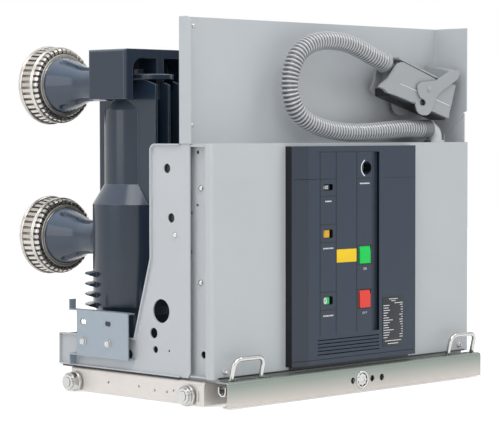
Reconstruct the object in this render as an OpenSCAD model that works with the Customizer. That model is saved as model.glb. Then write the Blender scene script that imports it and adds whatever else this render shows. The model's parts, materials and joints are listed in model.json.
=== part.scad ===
// Withdrawable vacuum circuit breaker: a spring mechanism housing and three cast-resin
// poles with finger-cluster contacts, on a racking truck. Millimetres.
// +X is to the right seen from the front, +Y to the rear, +Z up. The origin is on the
// floor under the centre of the machine.

/* [Truck] */
// Width of the truck and of the cross beam
truck_w = 653; // [640:1:670]
// Top of the truck's side channels
truck_top = 41; // [38:1:44]
// Radius of the roller flanges that stand on the floor
roller_r = 17.5; // [16:0.5:18]
// Travel of the truck against the cross beam
rack_travel = 200; // [150:10:200]

/* [Housing] */
// Width of the front cover
cover_w = 661; // [655:1:670]
// Top of the mechanism housing
housing_top = 431; // [420:1:440]
// Top of the shield plate behind the plug
shield_top = 640; // [600:5:660]
// Thickness of the folded sheet steel
sheet = 2.5; // [2:0.5:3]

/* [Poles] */
// Distance between neighbouring poles
pole_pitch = 210; // [205:1:212]
// Height of the lower contact axis
lower_axis = 261; // [258:1:264]
// Distance between the lower and the upper contact axis
contact_gap = 275; // [270:1:280]
// Radius of the lower part of a pole
pole_r = 75; // [70:1:78]
// Radius of the fixed contact pin that a finger cluster grips
contact_r = 54.5; // [54:0.5:55]
// Number of contact fingers in a cluster
fingers = 40; // [32:2:44]

/* [Controls] */
// Width of the control panel
panel_w = 317; // [300:1:330]
// Travel of the two push buttons
button_travel = 5; // [3:1:6]

/* [Plug] */
// Outer diameter of the corrugated conduit
hose_d = 32; // [28:1:32]

/* [Hidden] */
depth = 587;                      // beam front to contact mouth
y_mid = depth / 2;
half = truck_w / 2;
truck_y0 = 54;
truck_y1 = 388;
truck_z0 = 3;
deck_z = truck_top;               // the frame stands on the truck's deck
tray_top = deck_z + 6;            // the housing and the poles stand on the tray
base_z = deck_z + 4;              // underside of the side plates
cover_y = 32;                     // front of the cover
cover_back = 48;                  // rear of the cover's flanges
plate_x = half - sheet;           // outer face of a side plate's web
plate_front = 91;                 // front edge of the side plates
shield_y = 113;                   // rear face of the shield plate
side_x = 312;                     // outer face of a housing side
panel_y = 14;                     // front of the control panel
play = 0.05;                      // radial running clearance on pins
axle_r = 6;
roller_y = [91, 375];             // front and rear axles
roller_w = [14, 20];
handle_x = [[-304, -236], [250, 318]];
screw_z = 23;
screw_r = 8;
beam_z1 = 45;
rod_r = 4;
windows = [[350.4, 361.4], [269.3, 284.2], [155.7, 170]];
window_x = [-84, -60.5];
buttons = [145.8, 222.4];         // undersides of the two button wells
pole_y = 350;                     // axis of a pole
upper_axis = lower_axis + contact_gap;
conductor_r = 22;
cluster_y0 = 541;                 // rear ends of the fingers
hose_y = 70;
elbow = [276, 455];
hose_path = [[236, 455], [194, 456], [146, 453], [98, 450], [46, 449], [4, 452], [-30, 458], [-64, 468],
    [-90, 485], [-104, 508], [-108, 533], [-102, 560], [-87, 583], [-61, 599], [-30, 607], [5, 608],
    [40, 604], [72, 595], [102, 584], [132.5, 574.6]];
hose_sides = 12;
plug_tilt = 16;                   // slope of the plug's long axis
plug_dir = [cos(plug_tilt), -sin(plug_tilt)];
plug_up = [sin(plug_tilt), cos(plug_tilt)];
collar_l = 26;
plug_start = hose_path[len(hose_path) - 1];
plug_entry = plug_start + collar_l * plug_dir;
lever_pivot = [226, 527];
socket_x = 27;                    // spring charging socket
socket_z = 387.5;
socket_r = 11.5;

zinc = "gainsboro";
paint = "silver";
resin = "darkslategray";

// Points of an arc from angle a0 to a1
function arc(x, y, r, a0, a1, n = 6) =
    [for (i = [0:n]) [x + r * cos(a0 + (a1 - a0) * i / n), y + r * sin(a0 + (a1 - a0) * i / n)]];

// Rectangle with corners of radius r
function rounded(x0, x1, y0, y1, r) = concat(
    arc(x1 - r, y1 - r, r, 0, 90, 4), arc(x0 + r, y1 - r, r, 90, 180, 4),
    arc(x0 + r, y0 + r, r, 180, 270, 4), arc(x1 - r, y0 + r, r, 270, 360, 4));

// All pieces are drawn with y = 0 at the beam's front and then centred
module place() { translate([0, -y_mid, 0]) children(); }
// Sheet in the plane x = const: points are [y, z]
module sheet_x(x0, t, pts) { translate([x0, 0, 0]) rotate([90, 0, 90]) linear_extrude(t) polygon(pts); }
// Sheet in the plane y = const: points are [x, z]
module sheet_y(y0, t, pts) { translate([0, y0 + t, 0]) rotate([90, 0, 0]) linear_extrude(t) polygon(pts); }
module box(x0, x1, y0, y1, z0, z1) { translate([x0, y0, z0]) cube([x1 - x0, y1 - y0, z1 - z0]); }
module rod_x(x0, x1, y, z, r)
    translate([x0, y, z]) rotate([0, 90, 0]) cylinder(h = x1 - x0, r = r, $fn = 48);
module rod_y(x, y0, y1, z, r)
    translate([x, y0, z]) rotate([-90, 0, 0]) cylinder(h = y1 - y0, r = r, $fn = 48);
module rod_z(x, y, z0, z1, r) { translate([x, y, z0]) cylinder(h = z1 - z0, r = r, $fn = 48); }
// The left-hand piece as drawn, or its mirror image on the right
module mirrored(side) { if (side > 0) mirror([1, 0, 0]) children(); else children(); }

// ---- Truck ----
module truck_side(side) color(zinc) place() mirrored(side) difference() {
    union() {
        sheet_y(truck_y0 + sheet, truck_y1 - truck_y0 - 2 * sheet, concat(
            [[-half + 20, truck_z0], [-half + 20, truck_z0 + sheet], [-half + sheet, truck_z0 + sheet],
             [-half + sheet, truck_top - sheet], [-half + 20, truck_top - sheet], [-half + 20, truck_top]],
            arc(-half + 4, truck_top - 4, 4, 90, 180), [[-half, truck_z0]]));
        for (i = [0, 1]) rod_x(-half - 2 - roller_w[i], -half + sheet, roller_y[i], roller_r, axle_r);
    }
    for (p = [[291, 22], [213.5, 22], [174, 18.5], [144, 18.5], [128, 22]])
        rod_x(-half - 1, -half + sheet + 1, p[0], p[1], 2.2);
}
module truck_end(y0)
    sheet_y(y0, sheet, [[-half, truck_z0], [half, truck_z0], [half, truck_top], [-half, truck_top]]);
// Front plate with wrapped ends and the racking nut welded behind it
module truck_front() color(zinc) place() difference() {
    cap_x = half + 1.5;
    union() {
        truck_end(truck_y0);
        for (side = [-1, 1]) mirrored(side) {
            box(-cap_x, -half, truck_y0, 66, truck_z0, 36);
            box(-cap_x, -half, 67.5, 72, truck_z0, 36);
            box(-cap_x, -half, 66, 67.5, truck_z0, 9);
            box(-cap_x, -half, 66, 67.5, 27, 36);
        }
        box(-24, 24, truck_y0 + 1, truck_y0 + sheet + 26, truck_z0 + 5, deck_z - sheet);
        rod_y(0, truck_y0 + sheet + 25, truck_y0 + sheet + 34, screw_z, 13);
    }
    rod_y(0, truck_y0 - 1, truck_y0 + 60, screw_z, screw_r + play);
}
module truck_rear() color(zinc) place() truck_end(truck_y1 - sheet);
module truck_deck() color(zinc) place()
    box(-half + 20, half - 20, truck_y0 + sheet, truck_y1 - sheet, deck_z - sheet, deck_z);
// Stepped steel roller: flange next to the truck, tread, then the hub
module roller(side, i) color(zinc) place() mirrored(side)
    translate([-half - 2, roller_y[i], roller_r]) rotate([0, -90, 0]) difference() {
        out = roller_w[i];
        rotate_extrude($fn = 48) polygon([[0, 0], [roller_r, 0], [roller_r, 4], [roller_r - 1.5, 5],
            [roller_r - 1.5, out - 5], [roller_r - 4, out - 4.5], [roller_r - 4, out - 1],
            [roller_r - 5, out], [0, out]]);
        translate([0, 0, -1]) cylinder(h = out + 2, r = axle_r + play, $fn = 48);
    }

// ---- Cross beam, handles and screw ----
module cross_beam() color(zinc) place() difference() {
    union() {
        sheet_x(-half, truck_w, concat(arc(5, beam_z1 - 5, 5, 180, 90), [[26, beam_z1], [26, beam_z1 - sheet],
            [sheet, beam_z1 - sheet], [sheet, truck_z0 + sheet], [12, truck_z0 + sheet], [12, truck_z0],
            [0, truck_z0]]));
        rod_y(0, sheet, 20, screw_z, 19);
    }
    rod_y(0, -1, 9, screw_z, 15.5);
    rod_y(0, 5, 24, screw_z, screw_r + play);
    for (x = [-24, 26]) rod_y(x, -1, sheet + 1, screw_z, 5.5);
    rod_y(51, -1, sheet + 1, screw_z, 6);
    // slots that the handles' legs slide in
    for (h = handle_x, x = h)
        box(x - (h[0] < 0 ? 7 : 27), x + (h[0] < 0 ? 27 : 7), 9, 23, beam_z1 - 6, beam_z1 + 1);
}
// Bent rod loop on a locking slide that runs under the beam's flange
module handle(side, xs) color("lightgray") place() {
    root_z = 35;
    rise = 47;
    bend = 14;
    translate([0, 18, root_z]) rotate([14, 0, 0]) {
        for (x = xs) rod_z(x, 0, 0, rise - bend, rod_r);
        rod_x(xs[0] + bend, xs[1] - bend, 0, rise, rod_r);
        for (i = [0, 1]) translate([xs[i] + (i == 0 ? bend : -bend), 0, rise - bend]) rotate([90, 0, 0])
            rotate([0, 0, i == 0 ? 90 : 0]) rotate_extrude(angle = 90, $fn = 64)
                translate([bend, 0]) circle(r = rod_r, $fn = 24);
    }
    tip = side < 0 ? -half : xs[0] - 20;
    run = side < 0 ? xs[1] + 20 + half : half - xs[0] + 20;
    sheet_x(tip, run, concat([[5, 37]], arc(14, 30, 9, 180, 360, 10), [[23, 37], [20.5, 37]],
        arc(14, 30, 6.5, 360, 180, 10), [[7.5, 37]]));
    for (x = xs) box(x - 6, x + 6, 7, 21, 30, 36);
}
module racking_screw() color("lightgray") place() {
    rod_y(0, 5.5, rack_travel + 100, screw_z, screw_r);
    rod_y(0, 5.5, 8.8, screw_z, 13);
    rod_y(0, 20.3, 24, screw_z, 12);
    translate([0, 1.5, screw_z]) rotate([-90, 0, 0]) cylinder(h = 5, r = 9.5, $fn = 6);
}

// ---- Frame ----
module side_plate(side) color(paint) place() mirrored(side) {
    rim = 4.5;
    rear = 419;
    edge = concat(arc(172, housing_top - 12, 12, 90, 0),
        [[184, 239], [225, 102], [rear, 100], [rear, base_z]]);
    inner = concat([[shield_y - 1, base_z + sheet], [shield_y - 1, housing_top - sheet]],
        arc(172, housing_top - 12, 12 - sheet, 90, 0),
        [[184 - sheet, 238.6], [223, 102 - sheet], [rear - sheet, 100 - sheet],
         [rear - sheet, base_z + sheet]]);
    difference() {
        union() {
            sheet_x(-plate_x, sheet,
                concat([[plate_front + 5, base_z], [plate_front, base_z + 8], [plate_front, housing_top]],
                    edge));
            difference() {
                sheet_x(-plate_x - rim, rim, concat([[shield_y, base_z], [shield_y, housing_top]], edge));
                sheet_x(-plate_x - rim - 1, rim + 1, inner);
            }
        }
        for (h = [[160.6, 152, 20], [179, 114, 9], [175, 86.6, 6], [141.4, 86.7, 2], [240, 74, 8],
                  [145.4, 390, 8], [135.7, 308, 8]])
            rod_x(-plate_x - rim - 2, -plate_x + sheet + 2, h[0], h[1], h[2]);
    }
}
// Floor of the frame: the housing and the poles stand on it
module base_tray() color(paint) place() {
    box(-plate_x + sheet, plate_x - sheet, shield_y, 416, deck_z, tray_top);
    box(-side_x, side_x, cover_y + sheet, shield_y, deck_z, tray_top);
}
module rear_rail() color(paint) place()
    box(-plate_x + sheet, plate_x - sheet, 416, 416 + sheet, deck_z + 2, 98);
// Angle with inward flanges; their rear tongues end in a raised and a hanging tab
module shutter_bracket(side) color("lightsteelblue") place() mirrored(side) {
    x0 = -plate_x - 16;
    top = 144.5;
    bottom = 65;
    rear = 378.5;
    difference() {
        union() {
            sheet_x(x0, sheet, [[226, bottom], [226, top], [358, top], [358, bottom]]);
            box(x0, -plate_x, 226, 340, top - sheet, top);
            box(x0, x0 + 14, 339, rear, top - sheet, top);
            box(x0, -plate_x, 226, 340, bottom, bottom + sheet);
            box(x0, x0 + 14, 339, rear, bottom, bottom + sheet);
            box(x0, x0 + 14, rear - sheet, rear, top - sheet, 161);
            box(x0, x0 + 14, rear - sheet, rear, 48, bottom + sheet);
        }
        for (y = [341, 277]) {
            for (dy = [-3, 3]) rod_x(x0 - 1, x0 + sheet + 1, y + dy, 124, 4.5);
            rod_x(x0 - 1, x0 + sheet + 1, y - 1, 90.5, 4.2);
        }
    }
}

// ---- Housing ----
module housing_side(side) color(paint) place() mirrored(side) difference() {
    union() {
        box(-side_x, -side_x + sheet, cover_back, shield_y - sheet, tray_top, housing_top - sheet);
        box(-cover_w / 2 + sheet, -side_x + sheet, cover_back, cover_back + sheet,
            tray_top, housing_top - sheet);
        for (z = [tray_top, housing_top - 2 * sheet])
            box(-plate_x, -side_x + sheet, cover_back, plate_front, z, z + sheet);
    }
    for (h = [[84.2, 417, 3], [85, 330, 2.5], [99.6, 316.7, 2.5], [100.8, 252, 3], [71.3, 84.4, 6],
              [104.6, 84.4, 5]])
        rod_x(-side_x - 2, -side_x + sheet + 2, h[0], h[1], h[2]);
}
module housing_top_plate() color(paint) place()
    box(-plate_x + sheet, plate_x - sheet, cover_back, shield_y - sheet, housing_top - sheet, housing_top);
module front_cover() color(paint) place() {
    hw = cover_w / 2;
    r = 6;
    difference() {
        translate([0, 0, tray_top]) linear_extrude(housing_top - tray_top) polygon(concat(
            [[-hw, cover_back]], arc(-hw + r, cover_y + r, r, 180, 270),
            arc(hw - r, cover_y + r, r, 270, 360), [[hw, cover_back], [hw - sheet, cover_back]],
            arc(hw - r, cover_y + r, r - sheet, 360, 270),
            arc(-hw + r, cover_y + r, r - sheet, 270, 180), [[-hw + sheet, cover_back]]));
        rod_y(socket_x, cover_y - 1, cover_y + sheet + 1, socket_z, socket_r);
    }
    box(-hw + sheet, hw - sheet, cover_y + sheet, cover_back, housing_top - sheet, housing_top);
}
// Back of the housing, rising above it between a narrow left and a deep right flange
module shield_panel() color(paint) place() {
    box(-plate_x + sheet, plate_x - sheet, shield_y - sheet, shield_y, tray_top, housing_top + 1);
    box(-half, half, shield_y - sheet, shield_y, housing_top, shield_top);
    sheet_x(-half, sheet, [[86, housing_top], [shield_y, housing_top], [shield_y, shield_top],
        [94, shield_top], [86, shield_top - 8]]);
    sheet_x(plate_x, sheet, [[86, housing_top], [shield_y, housing_top], [shield_y, 446], [86, 446]]);
    sheet_x(half, sheet, [[shield_y, 438], [94, 438], [44, 480.5], [42.6, 485.5], [35.4, 488],
        [35.4, shield_top], [shield_y, shield_top]]);
}
module shield_gusset() color(paint) place()
    sheet_x(half + sheet, sheet,
        [[shield_y, housing_top], [42.6, housing_top], [42.6, 484], [shield_y, 484]]);

// ---- Controls ----
module control_panel() color("slategray") place() {
    hw = panel_w / 2;
    line = 0.9;
    strips = [[-92, -51.5], [1, 41.5]];
    strip_top = 415.5;
    strip_z = 104;
    strip_lines = [[370, 341, 292.5, 262, 177.5, 147], [370, 253.3, 221.5, 177.4, 144.8]];
    difference() {
        translate([0, 0, 55]) linear_extrude(371) polygon([[-hw, cover_y], [-hw, panel_y + 3.5],
            [-121, panel_y], [hw - 1.5, panel_y], [hw, panel_y + 1.5], [hw, cover_y]]);
        rod_y(socket_x, panel_y - 1, cover_y + 1, socket_z, socket_r);
        // channel between the controls and the right-hand column
        translate([0, 0, strip_z]) linear_extrude(strip_top - strip_z)
            polygon([[43.5, panel_y - 0.1], [52, panel_y + 6], [59.5, panel_y + 6], [59.5, panel_y - 0.1]]);
        // joints of the two strips, and the lines across them
        for (i = [0, 1]) {
            for (x = strips[i])
                box(x - line / 2, x + line / 2, panel_y - 1, panel_y + 1.5, strip_z, strip_top);
            for (z = strip_lines[i])
                box(strips[i][0], strips[i][1], panel_y - 1, panel_y + 0.8, z - line / 2, z + line / 2);
        }
        box(-98, 59.5, panel_y - 1, panel_y + 1.5, strip_top, strip_top + 1.2);
        box(-hw - 1, -98, panel_y - 1, panel_y + 4.2, 369.6, 370.4);
        box(59.5, hw + 1, panel_y - 1, panel_y + 0.8, 369.6, 370.4);
        box(-hw - 1, hw + 1, panel_y - 1, panel_y + 4.2, 63, 63.8);
        for (z = buttons)
            sheet_y(panel_y - 1, cover_y - panel_y + 2, rounded(5.5, 37.5, z - 0.8, z + 30.8, 2));
        for (w = windows)
            sheet_y(panel_y - 1, 18.5, rounded(window_x[0], window_x[1], w[0], w[1], 3));
        // louvres
        for (i = [0:4]) let (z = 70.5 + 6.1 * i)
            sheet_x(-98, 157.5, [[panel_y - 0.1, z], [panel_y + 4.5, z + 0.5], [panel_y - 0.1, z + 4]]);
    }
}
module button(z) place() sheet_x(8, 27, [[panel_y - 1.5, z], [panel_y - 1.5, z + 22],
    [panel_y + 0.5, z + 30], [cover_y - button_travel - 1, z + 30], [cover_y - button_travel - 1, z]]);
module close_button() color("limegreen") button(buttons[1]);
module open_button() color("crimson") button(buttons[0]);
// Drums behind the three windows: counter, spring state and contact position
module indicator_drums() color("gold") place()
    for (w = windows) {
        rod_z(-76, 24, w[0] + 0.6, w[1] - 0.6, 7.4);
        box(-79, -73, 25, 31.5, w[0] + 1, w[1] - 1);
    }

// ---- Poles ----
module pole_body(x) color(resin) place() translate([x, 0, 0]) {
    head_z0 = 507;
    head_z1 = 593.5;
    // head with rounded edges, and two arched recesses beside a central rib
    difference() {
        intersection() {
            translate([0, 0, head_z0]) linear_extrude(head_z1 - head_z0)
                polygon(rounded(-82, 82, 284, 382, 6));
            sheet_y(284, 98, concat([[-82, head_z0], [82, head_z0]], arc(76, head_z1 - 6, 6, 0, 90),
                arc(-76, head_z1 - 6, 6, 90, 180)));
        }
        for (s = [-1, 1]) sheet_y(283, 50, [for (p = concat([[64, head_z0 - 1], [8, head_z0 - 1], [8, 578]],
            arc(44, 558, 20, 90, 0))) [s * p[0], p[1]]]);
    }
    // interrupter housing: foot, lower barrel, cone, upper barrel and its tapered top
    translate([0, pole_y, 0]) rotate_extrude($fn = 64) polygon([[0, tray_top], [66, tray_top], [66, 132],
        [pole_r, 146], [pole_r, 324], [54, 359], [54, 489], [36, 505.4], [31.9, 505.4],
        [31.9, 560], [0, 560]]);
    // rear web with rounded corners up to the arm, boss of the lower arm and the disc under the arches
    translate([0, 0, 340]) linear_extrude(165.4) polygon(rounded(-24, 24, pole_y - 6, 420, 5));
    box(-24, 24, pole_y, 381.9, 500, head_z0 + 1);
    rod_y(0, pole_y, 430, lower_axis, 36);
    translate([0, 313, 0]) rotate_extrude($fn = 64) polygon([[0, 541], [42.5, 541], [44, 542.5], [44, 549.5],
        [42.5, 551], [0, 551]]);
    // cooling fins
    for (i = [-1:1]) sheet_x(i * 30 - 2.5, 5, [[261.5, 345], [276, 324], [345, 324], [345, 541], [302, 541],
        [298, 543.5], [261.5, 532]]);
    // creepage sheds on the rear
    for (z = [147, 165, 183, 201]) translate([0, pole_y, z]) rotate([0, 0, 17])
        rotate_extrude(angle = 146, $fn = 64) polygon([[pole_r - 3, -6], [pole_r + 9, -2.6],
            [pole_r + 13.5, -1.5], [pole_r + 15, 0.2], [pole_r + 13.5, 1.8], [pole_r + 9, 2.6],
            [pole_r - 3, 5.5]]);
}
// Insulating sleeve of a contact arm: neck and bell, with four long grooves in the bell
module arm(i, z, y_root) place() translate([i * pole_pitch, 0, z]) rotate([-90, 0, 0]) difference() {
    rotate_extrude($fn = 64) polygon(concat([[conductor_r + 0.1, y_root], [30.5, y_root]],
        arc(120.5, 462, 90, 180, 162), [[48.9, 533], [50, 536], [50, 539], [conductor_r + 0.1, 539]]));
    for (a = [45:90:315]) rotate([0, 0, a]) translate([31, 0, 478]) rotate([0, 17, 0])
        rotate_extrude($fn = 32) polygon(concat(arc(0, 0, 4.5, -90, 0), arc(0, 46, 4.5, 0, 90)));
}
// Conductor with the disc that the fingers grip at their rear ends
module conductor(i, z, y_root) place() translate([i * pole_pitch, 0, z]) rotate([-90, 0, 0])
    rotate_extrude($fn = 64) polygon([[0, y_root], [conductor_r, y_root], [conductor_r, 539],
        [51.2, 539], [51.8, 539.6], [51.8, 541.4], [50.5, 542.5], [50.5, 546.5], [contact_r, 547.5],
        [contact_r, 556], [contact_r - 5, 558], [0, 558]]);
upper_root = 382;
lower_root = 430;
module upper_arms() color(resin) for (i = [-1:1]) arm(i, upper_axis, upper_root);
module lower_arms() color(resin) for (i = [-1:1]) arm(i, lower_axis, lower_root);
module upper_conductors() color("lightgray") for (i = [-1:1]) conductor(i, upper_axis, upper_root);
module lower_conductors() color("lightgray") for (i = [-1:1]) conductor(i, lower_axis, lower_root);
// Finger cluster: spring fingers under a double ring, opening into a beaded mouth ring
module cluster(i, z) place() translate([i * pole_pitch, cluster_y0, z]) rotate([-90, 0, 0]) difference() {
    union() {
        rotate_extrude($fn = 64) polygon(concat([[60, 9]], arc(67.7, 10.9, 1.8, -70, 70, 4),
            arc(67.7, 15.1, 1.8, -70, 70, 4), [[60, 17]]));
        rotate_extrude($fn = 64) polygon(concat([[60, 38]], arc(70, 39.6, 1.6, -75, 60, 4),
            arc(70.5, 42.4, 1.6, -55, 55, 4), arc(70, 44.6, 1.4, -40, 90, 4), [[60, 46]]));
        for (k = [0:fingers - 1]) rotate([0, 0, k * 360 / fingers]) translate([0, 3, 0]) rotate([90, 0, 0])
            linear_extrude(6) polygon([[55, 2], [56, 0.7], [58, 0], [63, 0], [65.5, 1.5], [66.5, 5], [67, 17],
                [69, 39], [69, 43], [58, 43], [54, 39.5], [54, 32], [59, 28], [59, 20], [54, 15], [54, 7]]);
    }
    translate([0, 0, -1]) cylinder(h = 50, r = contact_r, $fn = 64);
}
module upper_clusters() color("whitesmoke") for (i = [-1:1]) cluster(i, upper_axis);
module lower_clusters() color("whitesmoke") for (i = [-1:1]) cluster(i, lower_axis);

// ---- Conduit and plug ----
function unit(v) = v / norm(v);
function tangent(i) = unit(i == 0 ? [-1, 0] : i == len(hose_path) - 1 ? plug_dir
    : unit(hose_path[i + 1] - hose_path[i]) + unit(hose_path[i] - hose_path[i - 1]));
// Ring of points about a path point, square to the path
function ring(i) = let (t = tangent(i), r = hose_d / 2)
    [for (k = [0:hose_sides - 1]) let (a = 360 * k / hose_sides)
        [hose_path[i][0] - t[1] * r * cos(a), hose_y + r * sin(a), hose_path[i][1] + t[0] * r * cos(a)]];
module conduit() color("darkgray") place() {
    n = hose_sides;
    m = len(hose_path);
    polyhedron(points = [for (i = [0:m - 1]) each ring(i)],
        faces = concat([[for (k = [0:n - 1]) k]],
            [for (i = [0:m - 2], k = [0:n - 1])
                [i * n + k, (i + 1) * n + k, (i + 1) * n + (k + 1) % n, i * n + (k + 1) % n]],
            [[for (k = [n - 1:-1:0]) (m - 1) * n + k]]));
}
// Fitting on the housing that turns the conduit to the left, with a sleeve over the conduit's end
module conduit_elbow() color("darkgray") place() {
    bend = 16;
    pipe_r = 14;
    rod_z(elbow[0], hose_y, housing_top, housing_top + 4, 19);
    rod_z(elbow[0], hose_y, housing_top, elbow[1] - bend, pipe_r);
    translate([elbow[0] - bend, hose_y, elbow[1] - bend]) rotate([90, 0, 0])
        rotate_extrude(angle = 90, $fn = 64) translate([bend, 0]) circle(r = pipe_r, $fn = 48);
    rod_x(hose_path[0][0], elbow[0] - bend + 2, hose_y, elbow[1], 17);
}
// Flange at the conduit's end and the neck that enters the hood
module plug_collar() color("darkgray") place()
    translate([plug_start[0], hose_y, plug_start[1]]) rotate([0, 90 + plug_tilt, 0]) rotate_extrude($fn = 48)
        polygon([[0, 0], [17.4, 0], [18.4, 1], [18.4, 7], [17.4, 8], [8.5, 8], [8.5, collar_l],
            [0, collar_l]]);
// Height of the hood's mouth, which slopes down to the right
function mouth_z(x) = 512.5 - (x - 150) * 38 / 138;
// Hood: two cheeks with an open cable end, a skirt below the crease, and a lid over the collar
module plug_hood() color("darkgray") place() {
    top = [plug_entry + 8 * plug_up, [256, 544.6], [309, 535.5]];
    mouth = [[288, mouth_z(288)], [150, mouth_z(150)]];
    // S-curved foot of the near cheek
    foot = [[116.4, 519.7], [110.6, 524.6], [102.9, 527.4], [97, 528.8], [102.8, 534.6], [112.4, 539.8],
        [122, 545]];
    sheet_y(46, 5.5, concat(top, mouth, foot, [[131.6, 554.1], [139.3, 563.1], [149, 572.2]]));
    sheet_y(88.5, 5.5, concat(top, mouth,
        [[130, mouth_z(130)], [123.7, 525.6], [133.5, 545.4], [137.4, 563.9], [149, 572.2]]));
    // body between the cheeks
    sheet_y(51.5, 37, concat([plug_entry + 11 * plug_up, [256, 547], [309, 535.5]], mouth,
        [plug_entry - 18 * plug_up]));
    // skirts below the crease
    sheet_y(44.8, 1.3, concat(mouth, foot, [[139, 539], [251, 508.5], [292, 497]]));
    sheet_y(93.9, 1.3, concat(mouth, [[130, mouth_z(130)], [139, 539], [251, 508.5], [292, 497]]));
    // lid over the top edge
    sheet_y(45, 50, [[148, 582.5], [265, 546.8], [264, 543.8], [149, 579.3]]);
    rod_y(lever_pivot[0], 40, 100, lever_pivot[1], rod_r);
}
// Black contact insert: its left end stands inside the hood and its rim stands out of the mouth
module plug_insert() color("black") place() {
    rim = 3.5;
    sheet_y(52, 36, [[132.5, 527.5], [150, 527.5], [150, mouth_z(150)], [286, mouth_z(286)],
        [286, mouth_z(286) - rim], [132.5, mouth_z(132.5) - rim]]);
}
// Locking lever: two hooked cheeks joined by an arched bridge
module plug_lever() color("darkgray") place() {
    cheek = 2.5;
    y0 = 40.8;
    y1 = 99.2;
    for (y = [y0, y1 - cheek]) difference() {
        sheet_y(y, cheek, [[194.5, 529], [196.5, 535], [206.6, 539.5], [248.6, 543.5], [279, 557.5],
            [287, 561.5], [312, 561.5], [314.5, 556], [307.4, 546], [252.3, 518], [245.5, 509],
            [235, 489], [227, 482], [219, 479.7], [207, 480], [198, 483.5], [193, 488.5], [189.5, 497],
            [189.5, 505], [197, 499.5], [205, 496.5], [212, 496.5], [217, 499], [218, 503], [215, 507],
            [210, 509], [203, 511.5], [198, 517]]);
        rod_y(lever_pivot[0], y - 1, y + 4, lever_pivot[1], rod_r + play);
    }
    arch = [[y0, 561.5], [58, 565], [78, 568.5], [y1, 570]];
    sheet_x(282, 30, concat([[y0, 557]], arch, [[y1, 553], [y1 - cheek, 553], [y1 - cheek, 567], [78, 565.5],
        [58, 562], [y0 + cheek, 558.5], [y0 + cheek, 557]]));
    // the bridge's edge is folded down towards the lid
    sheet_x(282, cheek, concat([[y0, 547]], arch, [[y1, 547]]));
}

truck_side(-1);  // truck_side_left
truck_side(1);  // truck_side_right
truck_front();
truck_rear();
truck_deck();
roller(-1, 0);  // roller_front_left
roller(1, 0);  // roller_front_right
roller(-1, 1);  // roller_rear_left
roller(1, 1);  // roller_rear_right
cross_beam();
handle(-1, handle_x[0]);  // handle_left
handle(1, handle_x[1]);  // handle_right
racking_screw();
side_plate(-1);  // side_plate_left
side_plate(1);  // side_plate_right
base_tray();
rear_rail();
shutter_bracket(-1);  // shutter_bracket_left
shutter_bracket(1);  // shutter_bracket_right
housing_side(-1);  // housing_side_left
housing_side(1);  // housing_side_right
housing_top_plate();
front_cover();
shield_panel();
shield_gusset();
control_panel();
close_button();
open_button();
indicator_drums();
pole_body(-pole_pitch);  // pole_left
pole_body(0);  // pole_centre
pole_body(pole_pitch);  // pole_right
upper_arms();
lower_arms();
upper_conductors();
lower_conductors();
upper_clusters();
lower_clusters();
conduit();
conduit_elbow();
plug_collar();
plug_hood();
plug_insert();
plug_lever();
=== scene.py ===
"""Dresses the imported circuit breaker: finishes, conduit, plug, panel face, fasteners and a studio stage."""

import json
import math
from functools import cache

import bmesh
import bpy
import numpy as np
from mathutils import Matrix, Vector

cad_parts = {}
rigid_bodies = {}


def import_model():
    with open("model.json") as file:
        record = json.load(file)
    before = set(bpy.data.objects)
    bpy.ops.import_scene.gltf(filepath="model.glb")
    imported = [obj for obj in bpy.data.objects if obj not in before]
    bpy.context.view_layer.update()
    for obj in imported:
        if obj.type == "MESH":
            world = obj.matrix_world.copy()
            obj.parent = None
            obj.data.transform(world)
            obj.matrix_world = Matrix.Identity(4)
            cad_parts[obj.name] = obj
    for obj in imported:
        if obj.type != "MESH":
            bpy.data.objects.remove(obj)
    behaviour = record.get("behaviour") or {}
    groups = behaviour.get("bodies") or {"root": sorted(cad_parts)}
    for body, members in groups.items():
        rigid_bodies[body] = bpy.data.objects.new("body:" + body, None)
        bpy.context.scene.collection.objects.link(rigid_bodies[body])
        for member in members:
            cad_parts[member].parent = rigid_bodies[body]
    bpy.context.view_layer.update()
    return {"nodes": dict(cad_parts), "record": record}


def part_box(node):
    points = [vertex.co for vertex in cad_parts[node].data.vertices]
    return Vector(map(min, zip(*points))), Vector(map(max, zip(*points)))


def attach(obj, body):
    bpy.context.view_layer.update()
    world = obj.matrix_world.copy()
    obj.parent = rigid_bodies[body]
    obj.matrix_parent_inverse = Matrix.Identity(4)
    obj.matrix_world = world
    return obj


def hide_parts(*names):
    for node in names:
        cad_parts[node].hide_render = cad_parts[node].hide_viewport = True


bl_info = {
    "name": "Vacuum Circuit Breaker",
    "version": (1, 0, 0),
    "blender": (4, 5, 0),
    "location": "3D View > Sidebar > Breaker",
    "description": "Dresses a withdrawable vacuum circuit breaker and sets its studio stage",
    "category": "Object",
}

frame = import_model()
SLOT_OF = {s["node"]: s["material_slot"] for s in frame["record"]["subparts"]}
FRONT_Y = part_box("cross_beam")[0].y           # the beam's front: depths are counted from here
MM = 0.001
TAU = 2 * math.pi

# Places that several pieces share, in millimetres: across, behind the beam's front and above the floor
POLE_X = (-210, 0, 210)
LOWER_Z, UPPER_Z = 261, 536                   # the two rows of contact axes
SCREW_Z = 23                                  # the racking screw's axis
AXLE_Z = 17.5                                 # the rollers' axles
PANEL_Y = 14                                  # the control panel's face
CHARGING_X, CHARGING_Z = 27, 387.5            # the charging socket in the panel

# Which way a small part faces: its own x, y and outward z in the row frame
FRONT = np.array([[1, 0, 0], [0, 0, 1], [0, -1, 0]], float)
LEFT = np.array([[0, -1, 0], [0, 0, 1], [-1, 0, 0]], float)
RIGHT = np.array([[0, 1, 0], [0, 0, 1], [1, 0, 0]], float)
REAR = np.array([[-1, 0, 0], [0, 0, 1], [0, 1, 0]], float)
UP = np.eye(3)


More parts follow.
